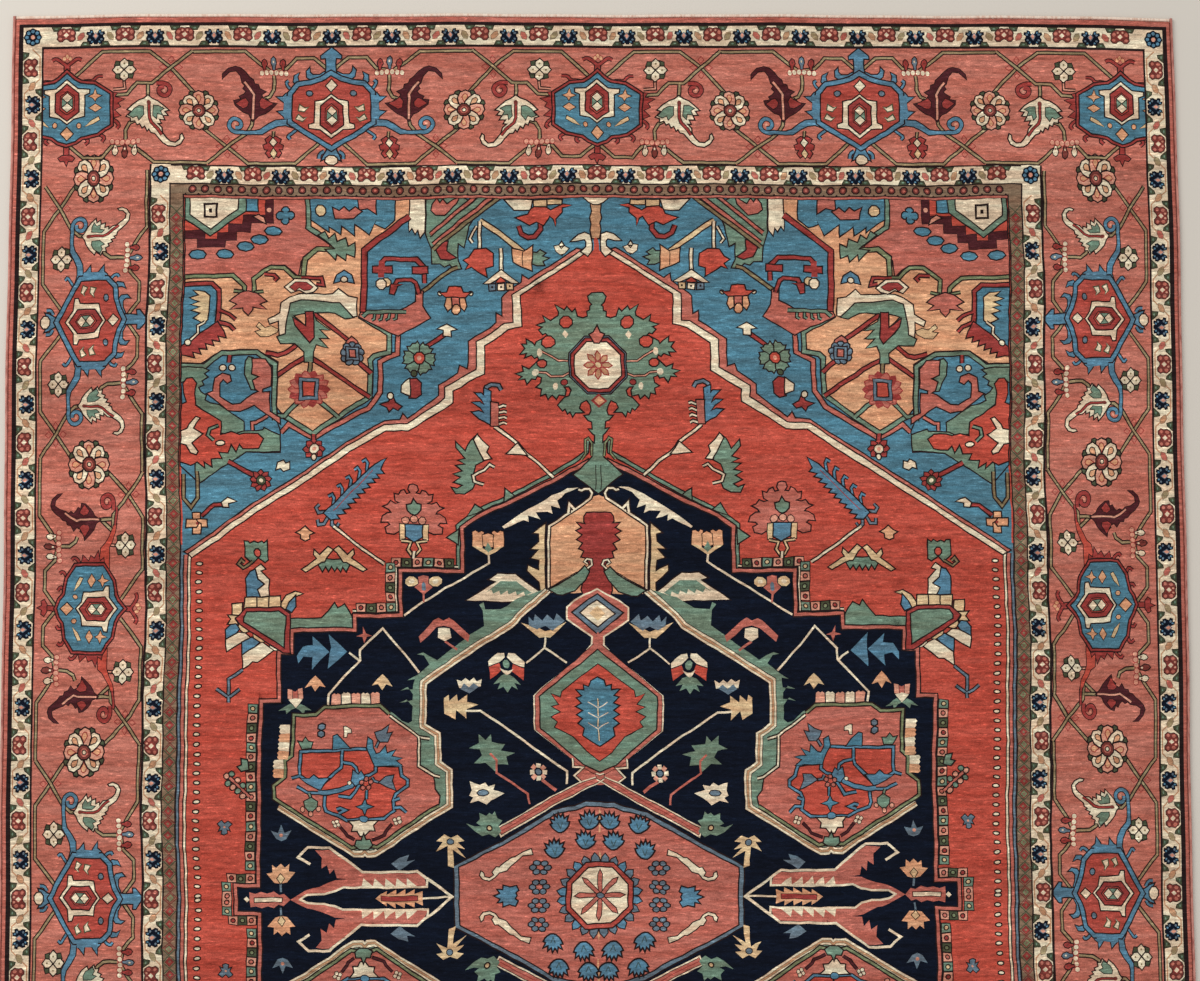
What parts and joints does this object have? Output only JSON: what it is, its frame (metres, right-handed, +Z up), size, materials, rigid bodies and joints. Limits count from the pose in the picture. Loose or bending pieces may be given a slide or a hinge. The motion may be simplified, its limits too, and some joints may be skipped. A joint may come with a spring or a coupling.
{
  "type": "mamluk rug",
  "caption": "Rectangular hand-knotted wool pile rug with a stepped centre medallion, corner spandrels and a palmette border, lying flat.",
  "frame": {"origin": "middle of the underside, on the floor that the rug lies on", "axes": "+Z up out of the pile, +Y along the rug's length, +X across its width"},
  "size_m": [1.8298, 2.74, 0.009],
  "materials": {
    "pile_wool": "cut wool pile, many dyes, matte with a faint sheen",
    "side_wool": "wool overcast, matte",
    "end_cotton": "undyed cotton and wool, matte"
  },
  "bodies": {
    "root": {"rug_body": "pile_wool", "side_cord_right": "side_wool", "side_cord_left": "side_wool", "end_binding_far": "end_cotton", "end_binding_near": "end_cotton"}
  },
  "joints": []
}
